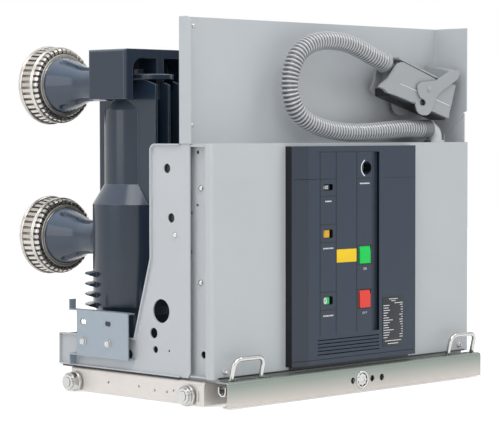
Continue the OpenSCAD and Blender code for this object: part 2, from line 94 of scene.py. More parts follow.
def at(x, y, z):
    """Millimetres across, behind the beam's front and above the floor, as a point in the row frame."""
    return np.array([x * MM, FRONT_Y + y * MM, z * MM])


def srgb(red, green, blue):
    """A screen colour from 0 to 255 as linear colour with full alpha."""
    c = np.array([red, green, blue]) / 255
    lin = np.where(c <= 0.04045, c / 12.92, ((c + 0.055) / 1.055) ** 2.4)
    return (*[float(v) for v in lin], 1.0)


# ---- Sizes and colours that a user would change ----
class BreakerSizes(bpy.types.PropertyGroup):
    """The conduit's sizes and the rounding of edges"""
    conduit_diameter: bpy.props.FloatProperty(
        name="Conduit diameter", description="Outside of the conduit's rings", default=0.032, unit="LENGTH")
    ring_pitch: bpy.props.FloatProperty(
        name="Ring pitch", description="Distance between two rings of the conduit", default=0.0067,
        unit="LENGTH")
    ring_depth: bpy.props.FloatProperty(
        name="Ring depth", description="Depth of the valley between two rings", default=0.0024, unit="LENGTH")
    edge_radius: bpy.props.FloatProperty(
        name="Edge radius", description="Rounding seen on folded and moulded edges", default=0.0008,
        unit="LENGTH")


class BreakerColours(bpy.types.PropertyGroup):
    """The colours of the main finishes"""
    paint: bpy.props.FloatVectorProperty(
        name="Frame paint", description="Powder coat of the frame", subtype="COLOR", size=4,
        default=srgb(186, 190, 194))
    cover: bpy.props.FloatVectorProperty(
        name="Cover paint", description="Powder coat of the front cover", subtype="COLOR", size=4,
        default=srgb(182, 187, 190))
    panel: bpy.props.FloatVectorProperty(
        name="Panel plastic", description="Moulded control panel", subtype="COLOR", size=4,
        default=srgb(38, 51, 67))
    resin: bpy.props.FloatVectorProperty(
        name="Pole resin", description="Cast resin of the poles", subtype="COLOR", size=4,
        default=srgb(36, 48, 63))
    zinc: bpy.props.FloatVectorProperty(
        name="Truck zinc", description="Galvanised truck", subtype="COLOR", size=4,
        default=srgb(214, 209, 204))
    beam: bpy.props.FloatVectorProperty(
        name="Beam zinc", description="Galvanised cross beam", subtype="COLOR", size=4,
        default=srgb(136, 146, 138))
    silver: bpy.props.FloatVectorProperty(
        name="Silver plate", description="Plating of the contact fingers", subtype="COLOR", size=4,
        default=srgb(196, 192, 187))
    conduit: bpy.props.FloatVectorProperty(
        name="Conduit grey", description="Corrugated conduit", subtype="COLOR", size=4,
        default=srgb(186, 189, 193))
    plug: bpy.props.FloatVectorProperty(
        name="Plug grey", description="Plug hood and lever", subtype="COLOR", size=4,
        default=srgb(156, 160, 164))


class BreakerStage(bpy.types.PropertyGroup):
    """The lamps' powers and the camera"""
    fill: bpy.props.FloatProperty(
        name="Fill", description="Strength of the light from all round", default=0.56)
    side: bpy.props.FloatProperty(
        name="Side lamp", description="Power of the lamp at the left", default=15, unit="POWER")
    front: bpy.props.FloatProperty(
        name="Front lamp", description="Power of the lamp at the front", default=19, unit="POWER")
    top: bpy.props.FloatProperty(
        name="Top lamp", description="Power of the lamp overhead", default=30, unit="POWER")
    high: bpy.props.FloatProperty(
        name="High lamp", description="Power of the small lamp high at the right", default=14, unit="POWER")
    spark: bpy.props.FloatProperty(
        name="Spark lamp", description="Power of the small lamp that gives highlights", default=9,
        unit="POWER")
    lens: bpy.props.FloatProperty(
        name="Lens", description="Focal length of the camera in millimetres", default=149.51)
    camera_place: bpy.props.FloatVectorProperty(
        name="Camera place", description="Where the camera stands", subtype="TRANSLATION", unit="LENGTH",
        default=(-2.6736, -2.6662, 0.4504))
    camera_turn: bpy.props.FloatVectorProperty(
        name="Camera turn", description="Tilt, roll and heading of the camera", subtype="EULER",
        unit="ROTATION", default=(math.radians(87.733), math.radians(0.073), math.radians(-45.308)))


# ---- Surfaces ----
TIP = 0.02                                    # millimetres: the radius at which a turned shape's middle closes


def grid_faces(rows, columns, closed_rows, closed_columns, capped):
    """Quads between neighbouring rows and columns of a grid of points, with its end rows as caps if asked."""
    i, j = np.meshgrid(np.arange(rows - (not closed_rows)), np.arange(columns - (not closed_columns)),
                       indexing="ij")
    i, j = i.ravel(), j.ravel()
    below, right = (i + 1) % rows, (j + 1) % columns
    quads = np.stack([i * columns + j, i * columns + right, below * columns + right, below * columns + j], 1)
    faces = [tuple(q) for q in quads.tolist()]
    if capped:
        faces += [tuple(range(columns))[::-1], tuple(range((rows - 1) * columns, rows * columns))]
    return faces


def patch(points, closed_rows=False, closed_columns=True, capped=True):
    """A grid of points (rows, columns, 3) as (vertices, faces)."""
    rows, columns = points.shape[:2]
    return points.reshape(-1, 3), grid_faces(rows, columns, closed_rows, closed_columns, capped)


def placed(part, origin, facing=UP):
    """A part drawn about its own origin, turned to face a way and moved to its place."""
    return part[0] @ facing + np.asarray(origin), part[1]


def joined(parts):
    """Several (vertices, faces) as one."""
    verts, faces, start = [], [], 0
    for v, f in parts:
        verts.append(v)
        faces += [tuple(k + start for k in face) for face in f]
        start += len(v)
    return np.concatenate(verts), faces


def on_both_sides(part, places):
    """A part at each place (out, behind, up) on the left and then on the right, facing outwards."""
    return [placed(part, at(side * x, y, z), facing) for side, facing in ((-1, LEFT), (1, RIGHT))
            for x, y, z in places]


def lathe(rows, segments=32, wave=np.zeros_like):
    """Turned shape: a row (r, h, share) is a ring at height h, of radius r (1 + share wave(t)) at angle t."""
    t = np.arange(segments) * TAU / segments
    radius, height, share = np.array([(*row, 0.0)[:3] for row in rows]).T[:, :, None]
    out = radius * MM * (1 + share * wave(t))
    return patch(np.stack([out * np.cos(t), out * np.sin(t), height * MM + 0 * t], -1))


def hexagon(t):
    """How far six flats stand beyond the circle inside them: 1 / cos(t - the nearest flat's angle) - 1."""
    return 1 / np.cos((t + TAU / 12) % (TAU / 6) - TAU / 12) - 1


def slab(width, height, thick, radius=1.0, edge=0.3, corner=6):
    """Flat plate with a rolled edge: a rectangle with round corners that shrinks by edge over its last rise."""
    rows = []
    for inset, rise in [(0, 0), (0, thick - edge), (edge * 0.3, thick - edge * 0.3), (edge, thick)]:
        r = max(radius - inset, TIP)
        a = np.linspace(0, TAU / 4, corner)
        turn = np.concatenate([a + k * TAU / 4 for k in range(4)])
        sx = np.repeat([1, -1, -1, 1], corner) * (width / 2 - inset - r)
        sy = np.repeat([1, 1, -1, -1], corner) * (height / 2 - inset - r)
        rows.append(np.stack([sx + r * np.cos(turn), sy + r * np.sin(turn), 0 * turn + rise], -1))
    return patch(np.array(rows) * MM)


def frames_along(path):
    """Two unit vectors square to a path at each point: the one nearest to Y, and tangent x that one."""
    tangent = np.gradient(path, axis=0)
    tangent /= np.linalg.norm(tangent, axis=1, keepdims=True)
    side = np.array([0.0, 1.0, 0.0]) - tangent * tangent[:, 1:2]
    side /= np.linalg.norm(side, axis=1, keepdims=True)
    return side, np.cross(tangent, side)


def tube(path, radius, sides):
    """Tube about a path: point (s, t) = path(s) + radius(s) (side cos t + other sin t)."""
    side, other = frames_along(path)
    t = np.arange(sides) * TAU / sides
    ring = side[:, None] * np.cos(t)[None, :, None] + other[:, None] * np.sin(t)[None, :, None]
    return patch(path[:, None] + radius[:, None, None] * ring)


def ribbon(points, width, thick, closed=False):
    """Flat printed or pressed line: a rectangle carried along a plane line and mitred at each point."""
    p = np.asarray(points, float)
    ahead = np.roll(p, -1, 0) - p if closed else np.diff(p, axis=0, append=2 * p[-1:] - p[-2:-1])
    ahead /= np.linalg.norm(ahead, axis=1, keepdims=True)
    behind = np.roll(ahead, 1, 0) if closed else np.concatenate([ahead[:1], ahead[:-1]])
    mid = ahead + behind
    mid /= np.linalg.norm(mid, axis=1, keepdims=True)
    across = np.stack([-mid[:, 1], mid[:, 0]], 1) / (mid * ahead).sum(1, keepdims=True) * width / 2
    corners = ((-1, 0), (1, 0), (1, thick), (-1, thick))
    rows = [np.column_stack([p + k * across, np.full(len(p), h)]) for k, h in corners]
    return patch(np.stack(rows, 1) * MM, closed_rows=closed, capped=not closed)


def arc_points(x, y, r, start, end, n=24):
    """Points of a circle's arc between two angles in degrees."""
    a = np.radians(np.linspace(start, end, n))
    return np.column_stack([x + r * np.cos(a), y + r * np.sin(a)])


STROKES = {
    "O": [[*arc_points(0.5, 0.65, 0.35, 0, 180, 9), *arc_points(0.5, 0.35, 0.35, 180, 360, 9)]],
    "N": [[(0.15, 0), (0.15, 1), (0.85, 0), (0.85, 1)]],
    "F": [[(0.8, 1), (0.2, 1), (0.2, 0)], [(0.2, 0.52), (0.7, 0.52)]],
    "-": [[(0.1, 0.5), (0.9, 0.5)]],
}
LETTER_SHARE = 0.85                           # of a letter's pitch, which the letter itself takes


def marks(text, height, width=0.9, weight=0.17, thick=0.15):
    """A short word of plain strokes about its own origin; width is the letters' pitch over their height."""
    parts = []
    for i, letter in enumerate(text):
        for line in STROKES[letter]:
            xy = (np.array(line) - (0.5, 0.5)) * (height * width * LETTER_SHARE, height)
            xy[:, 0] += (i - (len(text) - 1) / 2) * height * width
            parts.append(ribbon(xy, height * weight, thick, closed=letter == "O"))
    return joined(parts)


def piece(name, part, material, body, sharp=35):
    """A finished object: doubles merged, faces turned outwards, smooth below the sharp angle in degrees."""
    verts, faces = part
    mesh = bpy.data.meshes.new(name)
    mesh.from_pydata(verts.tolist(), [], faces)
    bm = bmesh.new()
    bm.from_mesh(mesh)
    bmesh.ops.remove_doubles(bm, verts=bm.verts, dist=1e-6)
    bmesh.ops.recalc_face_normals(bm, faces=bm.faces)
    bm.to_mesh(mesh)
    bm.free()
    mesh.shade_smooth()
    mesh.set_sharp_from_angle(angle=math.radians(sharp))
    mesh.materials.append(material)
    obj = bpy.data.objects.new(name, mesh)
    bpy.context.scene.collection.objects.link(obj)
    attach(obj, body)
    return obj


# ---- Shared shader groups ----
def group(name, inputs, outputs):
    """A new shader node group with named inputs (socket type, name, default) and outputs."""
    tree = bpy.data.node_groups.new(name, "ShaderNodeTree")
    for kind, label, default in inputs:
        s = tree.interface.new_socket(label, in_out="INPUT", socket_type=f"NodeSocket{kind}")
        s.default_value = default
    for kind, label in outputs:
        tree.interface.new_socket(label, in_out="OUTPUT", socket_type=f"NodeSocket{kind}")
    return tree, tree.nodes.new("NodeGroupInput"), tree.nodes.new("NodeGroupOutput")


def node(tree, kind, sockets=(), **values):
    """Adds a node, sets its properties and named sockets, and fills {socket: an output to link, or a value}."""
    n = tree.nodes.new(kind)
    for key, value in values.items():
        if key in n.inputs.keys():
            n.inputs[key].default_value = value
        else:
            setattr(n, key, value)
    for key, value in dict(sockets).items():
        if isinstance(value, bpy.types.NodeSocket):
            tree.links.new(value, n.inputs[key])
        else:
            n.inputs[key].default_value = value
    return n


def maths(tree, operation, *inputs, **values):
    """The result of a Math node on its inputs, each an output to link or a value."""
    return node(tree, "ShaderNodeMath", dict(enumerate(inputs)), operation=operation, **values).outputs[0]


def vector_maths(tree, operation, *inputs):
    """The outputs of a Vector Math node on its inputs, each an output to link or a value."""
    return node(tree, "ShaderNodeVectorMath", dict(enumerate(inputs)), operation=operation).outputs


def mixed(tree, factor, first, second):
    """A colour that is the first where the factor is 0 and the second where it is 1."""
    return node(tree, "ShaderNodeMix", {0: factor, 6: first, 7: second}, data_type="RGBA").outputs[2]


def own_coords(tree):
    """Each point's place in the object, in metres."""
    return node(tree, "ShaderNodeTexCoord").outputs["Object"]


def soft_step(tree, gin, gout, value, limit):
    """Puts out as a group's Mask how far a value is past a limit, over its Softness, from 0 to 1."""
    over = maths(tree, "SUBTRACT", value, limit)
    tree.links.new(maths(tree, "DIVIDE", over, gin.outputs["Softness"], use_clamp=True), gout.inputs["Mask"])


@cache
def tone_group():
    """Large soft patches that move a colour a little lighter or darker, and roughness with it."""
    tree, gin, gout = group("Tone Drift", [("Color", "Colour", (0.5, 0.5, 0.5, 1)), ("Float", "Amount", 0.06),
                                           ("Float", "Patch Scale", 7.0), ("Float", "Roughness", 0.4)],
                            [("Color", "Colour"), ("Float", "Roughness")])
    noise = node(tree, "ShaderNodeTexNoise", {"Vector": own_coords(tree), "Scale": gin.outputs["Patch Scale"]},
                 Detail=4.0, Roughness=0.6)
    centred = maths(tree, "SUBTRACT", noise.outputs["Fac"], 0.5)
    swing = maths(tree, "MULTIPLY", centred, gin.outputs["Amount"])
    factor = maths(tree, "MULTIPLY_ADD", swing, 2.0, 1.0)
    scaled = node(tree, "ShaderNodeVectorMath", {0: gin.outputs["Colour"], 3: factor}, operation="SCALE")
    tree.links.new(scaled.outputs[0], gout.inputs["Colour"])
    tree.links.new(maths(tree, "ADD", swing, gin.outputs["Roughness"]), gout.inputs["Roughness"])
    return tree


@cache
def grain_group():
    """Fine surface relief: fine noise, stretched along one axis for drawn or rolled metal."""
    tree, gin, gout = group("Fine Grain", [("Vector", "Stretch", (1, 1, 1)), ("Float", "Scale", 600.0)],
                            [("Float", "Height")])
    stretched = vector_maths(tree, "MULTIPLY", own_coords(tree), gin.outputs["Stretch"])[0]
    noise = node(tree, "ShaderNodeTexNoise", {"Vector": stretched, "Scale": gin.outputs["Scale"]}, Detail=3.0)
    tree.links.new(noise.outputs["Fac"], gout.inputs["Height"])
    return tree


@cache
def edge_group():
    """Rounded edges in a second colour where the rounded normal turns away from the true one, broken by noise:
    rubbed paint or metal on most finishes, a painted highlight on the cast resin.
    """
    tree, gin, gout = group("Edge Wear", [("Float", "Radius", 0.0008), ("Color", "Colour", (0.5, 0.5, 0.5, 1)),
                                          ("Color", "Worn Colour", (0.7, 0.7, 0.7, 1)), ("Float", "Wear", 0.3)],
                            [("Color", "Colour"), ("Vector", "Normal")])
    bevel = node(tree, "ShaderNodeBevel", {"Radius": gin.outputs["Radius"]}, samples=4)
    true_normal = node(tree, "ShaderNodeNewGeometry").outputs["Normal"]
    dot = vector_maths(tree, "DOT_PRODUCT", bevel.outputs[0], true_normal)["Value"]
    mask = node(tree, "ShaderNodeMapRange", {"Value": dot, "From Min": 0.995, "From Max": 0.86})
    noise = node(tree, "ShaderNodeTexNoise", {"Vector": own_coords(tree)}, Scale=55.0, Detail=5.0)
    broken = maths(tree, "MULTIPLY", mask.outputs[0], noise.outputs["Fac"])
    strength = maths(tree, "MULTIPLY", broken, gin.outputs["Wear"])
    worn_and_highlight = mixed(tree, strength, gin.outputs["Colour"], gin.outputs["Worn Colour"])
    tree.links.new(worn_and_highlight, gout.inputs["Colour"])
    tree.links.new(bevel.outputs[0], gout.inputs["Normal"])
    return tree


@cache
def bore_group():
    """1 inside a radius about the nearest contact axis, 0 outside; the axes repeat across and up."""
    tree, gin, gout = group("Bore Mask", [("Float", "Radius", 0.06), ("Float", "Softness", 0.002)],
                            [("Float", "Mask")])
    low, half_gap, half_pitch = LOWER_Z * MM, (UPPER_Z - LOWER_Z) / 2 * MM, POLE_X[-1] / 2 * MM
    wrapped = vector_maths(tree, "WRAP", own_coords(tree), (half_pitch, 1.0, low + half_gap),
                           (-half_pitch, -1.0, low - half_gap))[0]
    centred = vector_maths(tree, "SUBTRACT", wrapped, (0, 0, low))[0]
    upright = vector_maths(tree, "MULTIPLY", centred, (1, 0, 1))[0]
    soft_step(tree, gin, gout, gin.outputs["Radius"], vector_maths(tree, "LENGTH", upright)["Value"])
    return tree


def direction_group(name, direction, limit, measured, output):
    """A mask that is 1 where a vector's reach along a direction is past a limit, soft over a range."""
    tree, gin, gout = group(name, [("Vector", "Direction", direction), ("Float", "Limit", limit),
                                   ("Float", "Softness", 0.001)], [("Float", "Mask")])
    reach = vector_maths(tree, "DOT_PRODUCT", node(tree, measured).outputs[output], gin.outputs["Direction"])
    soft_step(tree, gin, gout, reach["Value"], gin.outputs["Limit"])
    return tree


@cache
def facing_group():
    """1 where a surface faces along a direction past a limit, 0 elsewhere."""
    return direction_group("Facing Mask", (-1, 0, 0), 0.8, "ShaderNodeNewGeometry", "True Normal")


@cache
def past_group():
    """1 where a point lies along a direction past a limit, 0 before it."""
    return direction_group("Past Mask", (0, 0, 1), 0.0, "ShaderNodeTexCoord", "Object")


@cache
def valley_shade_group():
    """1 at the bottom of a ring's valley and 0 on its crest, from the conduit's own groove attribute: where
    painted shade goes.
    """
    tree, _, gout = group("Groove Mask", [], [("Float", "Mask")])
    groove = node(tree, "ShaderNodeAttribute", attribute_name="groove")
    tree.links.new(groove.outputs["Fac"], gout.inputs["Mask"])
    return tree


# ---- Finishes ----
COAT_ROUGHNESS = 0.08
GRAIN_DEPTH = 0.0002                          # metres: how deep a full bump would be


def finish_of(name, colour, roughness=0.4, metallic=0.0, drift=0.05, patch_scale=7.0, grain=0.1,
              grain_scale=900.0, stretch=(1, 1, 1), wear_and_highlight=0.15, worn_and_highlight=(0.75, 0.75, 0.76, 1), radius=None,
              coat=0.0, specular=0.5):
    """A finish made of the shared groups: drifting tone, fine grain as bump, and rounded edges in a second
    colour, rubbed on most finishes and a painted highlight on the cast resin.
    """
    mat = bpy.data.materials.new(name)
    mat.use_nodes = True
    tree = mat.node_tree
    shader = tree.nodes["Principled BSDF"]
    for key, value in (("Metallic", metallic), ("Coat Weight", coat), ("Coat Roughness", COAT_ROUGHNESS),
                       ("Specular IOR Level", specular)):
        shader.inputs[key].default_value = value
    tone = node(tree, "ShaderNodeGroup", {"Patch Scale": patch_scale}, node_tree=tone_group(), Colour=colour,
                Amount=drift, Roughness=roughness)
    rounding = bpy.context.scene.breaker_sizes.edge_radius if radius is None else radius
    edge = node(tree, "ShaderNodeGroup", {"Colour": tone.outputs["Colour"], "Worn Colour": worn_and_highlight},
                node_tree=edge_group(), Radius=rounding, Wear=wear_and_highlight)
    fine = node(tree, "ShaderNodeGroup", node_tree=grain_group(), Stretch=stretch, Scale=grain_scale)
    bump = node(tree, "ShaderNodeBump", {"Height": fine.outputs["Height"], "Normal": edge.outputs["Normal"]},
                Strength=grain, Distance=GRAIN_DEPTH)
    tree.links.new(edge.outputs["Colour"], shader.inputs["Base Color"])
    tree.links.new(tone.outputs["Roughness"], shader.inputs["Roughness"])
    tree.links.new(bump.outputs["Normal"], shader.inputs["Normal"])
    return mat


def tinted(mat, mask_maker, colour, **values):
    """Gives a finish one more colour wherever a mask group is 1."""
    tree = mat.node_tree
    base = tree.nodes["Principled BSDF"].inputs["Base Color"]
    mask = node(tree, "ShaderNodeGroup", node_tree=mask_maker(), **values)
    tree.links.new(mixed(tree, mask.outputs["Mask"], base.links[0].from_socket, colour), base)
    return mat


def resin_finish(name, colour, upward_sheen):
    """Glossy cast resin, with a painted highlight on its edges and a painted sheen where faces turn upwards."""
    # On the resin the pale edge colour is a painted highlight.
    mat = finish_of(name, colour, 0.18, drift=0.05, grain=0.02, worn_and_highlight=(0.33, 0.38, 0.46, 1), wear_and_highlight=0.7,
                    radius=0.0016, specular=0.5)
    # Painted sheen where faces turn upwards.
    return tinted(mat, facing_group, upward_sheen, Direction=(0, 0, 1), Limit=0.2, Softness=0.6)


def button_plastic(name, colour):
    """Smooth moulded cap of a push button."""
    return finish_of(name, colour, 0.35, drift=0.03, grain=0.03, wear_and_highlight=0.2, worn_and_highlight=(1, 1, 1, 1), specular=0.3)


def printed(name, colour):
    """Matt print, inlay, painted highlight or shadow patch, with no second colour on its edges."""
    return finish_of(name, colour, 0.5, drift=0.02, grain=0.05, wear_and_highlight=0.0)


def colours():
    """The colours that the sidebar holds."""
    return bpy.context.scene.breaker_colours


@cache
def frame_paint():
    """Powder coat of the frame."""
    return finish_of("frame powder coat", colours().paint, 0.42, grain=0.12)


@cache
def shield_paint():
    """Powder coat of the shield panel, a shade darker."""
    return finish_of("shield powder coat", srgb(181, 186, 190), 0.42, grain=0.12)


@cache
def cover_paint():
    """Powder coat of the front cover, a little smoother."""
    return finish_of("cover powder coat", colours().cover, 0.38, grain=0.12)


@cache
def panel_plastic():
    """Moulded control panel, with painted shade on its slanted column, and black on its left side."""
    mat = finish_of("panel moulding", colours().panel, 0.42, drift=0.05, grain=0.1, grain_scale=1500,
                    worn_and_highlight=(0.2, 0.24, 0.3, 1), wear_and_highlight=0.5, specular=0.4)
    # Painted shade on the slanted left column.
    tinted(mat, facing_group, srgb(36, 45, 58), Direction=(-0.0958, -0.9954, 0), Limit=0.9985)
    return tinted(mat, facing_group, srgb(10, 14, 20))


@cache
def pole_resin():
    """Cast resin of the poles, with a painted sheen where faces turn upwards."""
    return resin_finish("cast resin", colours().resin, srgb(82, 94, 110))


@cache
def arm_resin_with_sheen():
    """Cast resin of the contact arms, painted a shade paler for the sheen on their bells, and with a painted
    sheen where faces turn upwards.
    """
    return resin_finish("polished resin", srgb(54, 67, 84), srgb(92, 106, 124))


@cache
def truck_zinc():
    """Galvanised sheet of the truck, with grain drawn out along the sheet."""
    return finish_of("galvanised sheet", colours().zinc, 0.34, metallic=0.35, drift=0.08, patch_scale=28,
                     grain=0.2, grain_scale=240, stretch=(1, 1, 6), wear_and_highlight=0.2)


@cache
def beam_zinc():
    """Rolled zinc of the cross beam, with a painted reflection of the pale floor that makes it paler towards
    its foot.
    """
    mat = finish_of("rolled zinc", colours().beam, 0.2, metallic=0.45, drift=0.05, patch_scale=12, grain=0.12,
                    grain_scale=300, stretch=(0.1, 1, 3), wear_and_highlight=0.6, worn_and_highlight=(0.95, 0.95, 0.95, 1), radius=0.0015)
    # Painted reflection of the pale floor, paler towards the foot.
    return tinted(mat, past_group, srgb(194, 188, 182), Direction=(0, 0, -1), Limit=-0.036, Softness=0.03)


@cache
def bracket_zinc():
    """Blue passivated zinc of the shutter brackets."""
    return finish_of("blue zinc", srgb(152, 163, 173), 0.38, metallic=0.45, drift=0.06, patch_scale=18,
                     wear_and_highlight=0.25)


@cache
def bright_steel():
    """Bright steel of handles, bolts and caps."""
    return finish_of("bright steel", srgb(190, 190, 188), 0.16, metallic=1.0, drift=0.04, patch_scale=30,
                     grain=0.08, grain_scale=500, wear_and_highlight=0.1)


@cache
def silver_plate():
    """Silver plate of the contacts, duller inside their bores."""
    mat = finish_of("silver plate", colours().silver, 0.22, metallic=0.95, drift=0.12, patch_scale=60,
                    grain=0.1, grain_scale=700, wear_and_highlight=0.2, radius=0.0004)
    return tinted(mat, bore_group, srgb(150, 147, 143), Radius=0.0595, Softness=0.003)


@cache
def conduit_plastic():
    """Coated plastic of the conduit, with painted shade in the valleys between its rings."""
    mat = finish_of("conduit plastic", colours().conduit, 0.24, drift=0.04, grain=0.05, wear_and_highlight=0.0, coat=0.6,
                    specular=0.7)
    # Painted shade in the valleys between the rings.
    return tinted(mat, valley_shade_group, srgb(66, 69, 74))


@cache
def elbow_plastic():
    """Pale plastic of the conduit's elbow, with painted shade on the sleeve at its mouth, under the hood."""
    mat = finish_of("elbow plastic", srgb(200, 203, 206), 0.35, drift=0.04, grain=0.05, wear_and_highlight=0.1)
    # Painted shade on the sleeve, which lies under the hood.
    return tinted(mat, past_group, srgb(112, 115, 120), Direction=(-1, 0, 0), Limit=-0.259, Softness=0.001)


@cache
def plug_paint():
    """Enamel of the plug's hood and lever."""
    return finish_of("plug enamel", colours().plug, 0.34, drift=0.04, grain=0.1, grain_scale=700, wear_and_highlight=0.35,
                     worn_and_highlight=(0.8, 0.8, 0.8, 1), radius=0.0012)


@cache
def black_plastic():
    """Black plastic, also used as painted shade in holes and gaps."""
    return finish_of("black plastic", srgb(22, 24, 28), 0.4, grain=0.08, wear_and_highlight=0.4, worn_and_highlight=(0.08, 0.08, 0.09, 1))


@cache
def drum_print():
    """The three drums differ by height: green position flag, amber spring flag, black counter."""
    mat = printed("drum print", (0.5, 0.5, 0.5, 1))
    tree = mat.node_tree
    height = node(tree, "ShaderNodeSeparateXYZ", {"Vector": own_coords(tree)})
    ramp = node(tree, "ShaderNodeValToRGB", {"Fac": height.outputs["Z"]})
    ramp.color_ramp.interpolation = "CONSTANT"
    ramp.color_ramp.elements[0].color = srgb(40, 178, 96)
    ramp.color_ramp.elements[1].position = 0.22
    ramp.color_ramp.elements[1].color = srgb(214, 166, 46)
    ramp.color_ramp.elements.new(0.31).color = srgb(26, 28, 32)
    tree.links.new(ramp.outputs["Color"], tree.nodes["Principled BSDF"].inputs["Base Color"])
    return mat


FINISHES = {
    "zinc_steel": truck_zinc, "beam_steel": beam_zinc, "bright_steel": bright_steel,
    "frame_paint": frame_paint, "cover_paint": cover_paint, "bracket_zinc": bracket_zinc,
    "panel_plastic": panel_plastic, "drum_plastic": drum_print, "resin": pole_resin,
    "silvered_copper": silver_plate, "conduit_plastic": conduit_plastic, "plug_metal": plug_paint,
    "black_plastic": black_plastic,
    "green_plastic": lambda: button_plastic("green cap", srgb(6, 200, 82)),
    "red_plastic": lambda: button_plastic("red cap", srgb(226, 66, 54)),
}
OWN_FINISHES = {"shield_panel": shield_paint, "conduit_elbow": elbow_plastic}


def body_of(node_name):
    """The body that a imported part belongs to."""
    return next(b for b, members in frame["record"]["behaviour"]["bodies"].items() if node_name in members)


# ---- Operators ----
class BREAKER_OT_finishes(bpy.types.Operator):
    """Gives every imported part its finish"""
    bl_idname = "breaker.finishes"
    bl_label = "Finishes"

    def execute(self, context):
        for name, obj in frame["nodes"].items():
            finish = OWN_FINISHES.get(name, FINISHES[SLOT_OF[name]])
            obj.data.materials.clear()
            obj.data.materials.append(finish())
        return {"FINISHED"}


# The conduit's route: across and up in millimetres, at one depth behind the beam's front
CONDUIT_Y = 70
CONDUIT_SIDES = 28
CONDUIT_ROUTE = [
    (236, 455), (194, 456), (146, 453), (98, 450), (46, 449), (4, 452), (-30, 458), (-64, 468), (-90, 485),
    (-104, 508), (-108, 533), (-102, 560), (-87, 583), (-61, 599), (-30, 607), (5, 608), (40, 604), (72, 595),
    (102, 584), (132.5, 574.6)]
PLUG_TRIM = ("lever_pivots", "hood_crease", "hook_opening")


def smooth_route(points, step):
    """Cubic curve through points, evenly spaced by arc length. Between two points it is the Hermite cubic
    whose tangents are half the step from the point before to the next."""
    p = np.asarray(points, float)
    m = np.gradient(p, axis=0)
    t = np.linspace(0, 1, 40, endpoint=False)[:, None]
    h00, h10, h01, h11 = 2*t**3 - 3*t**2 + 1, t**3 - 2*t**2 + t, -2*t**3 + 3*t**2, t**3 - t**2
    dense = [h00*p[i] + h10*m[i] + h01*p[i + 1] + h11*m[i + 1] for i in range(len(p) - 1)]
    line = np.concatenate([*dense, p[-1:]])
    run = np.concatenate([[0], np.cumsum(np.linalg.norm(np.diff(line, axis=0), axis=1))])
    s = np.linspace(0, run[-1], int(round(run[-1] / step)) + 1)
    return np.stack([np.interp(s, run, line[:, k]) for k in range(3)], 1), s


class BREAKER_OT_conduit(bpy.types.Operator):
    """Lays the corrugated conduit along its route"""
    bl_idname = "breaker.conduit"
    bl_label = "Conduit"

    def execute(self, context):
        """Where the wave, a flattened cosine of one period a ring, is w, the groove is 1 - w^2 deep."""
        sizes = context.scene.breaker_sizes
        points = [at(x, CONDUIT_Y, z) for x, z in CONDUIT_ROUTE]
        line, s = smooth_route(points, sizes.ring_pitch / 8)
        wave = np.clip(0.5 + 0.75 * np.cos(TAU * s / sizes.ring_pitch), 0, 1)
        groove = 1 - wave ** 2
        skin = tube(line, sizes.conduit_diameter / 2 - sizes.ring_depth * groove, CONDUIT_SIDES)
        hose = piece("corrugated_conduit", skin, conduit_plastic(), body_of("conduit"),
                     sharp=80)
        # The groove depth is kept on the conduit for the painted shade in its valleys.
        depths = hose.data.attributes.new("groove", "FLOAT", "POINT").data
        depths.foreach_set("value", np.repeat(groove, CONDUIT_SIDES))
        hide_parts("conduit")
        on_it = [frame["nodes"][n] for n in ("plug_collar", "plug_hood", "plug_insert", "plug_lever")]
        on_it += [bpy.data.objects[n] for n in PLUG_TRIM]
        return {"FINISHED"}


def round_head(radius, rise):
    """Domed screw head, drawn upwards from its seat: a quarter of an ellipse with these half axes."""
    dome = [(radius * math.cos(a), rise * math.sin(a)) for a in np.linspace(0, 1.5, 6)]
    return lathe([(radius, -0.2), *dome, (TIP, rise)], 28)


def hex_bolt(across, rise, washer):
    """Six-sided bolt head with a chamfered top, a shallow dish and a washer."""
    return lathe([(washer, 0), (washer, 1.0), (washer - 0.4, 1.4), (across, 1.4, 1), (across, rise, 1),
                  (across - 0.8, rise + 0.7, 0.3), (across * 0.55, rise + 0.7), (across * 0.5, rise + 0.3),
                  (TIP, rise + 0.3)], 48, hexagon)


